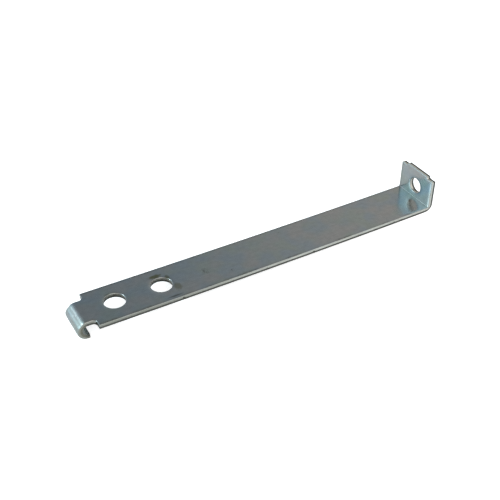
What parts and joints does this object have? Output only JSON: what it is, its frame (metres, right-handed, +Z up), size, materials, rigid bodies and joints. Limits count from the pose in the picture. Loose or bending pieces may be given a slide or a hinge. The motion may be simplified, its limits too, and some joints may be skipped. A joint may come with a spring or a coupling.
{
  "type": "footed bracket",
  "caption": "Folded steel strap bracket: a punched flat strip with a curled hook at one end and an upright fixing tab at the other.",
  "frame": {"origin": "midway between the two bolt holes, on the underside of the strap", "axes": "+X along the strap towards the upright tab, +Y across the strap, +Z up along the tab, square to the strap"},
  "size_m": [0.1986, 0.025, 0.0266],
  "materials": {
    "zinc_steel": "dull blue-grey zinc plating with faint stains, brighter on the sheared edges"
  },
  "bodies": {
    "root": {"bracket": "zinc_steel"}
  },
  "joints": []
}
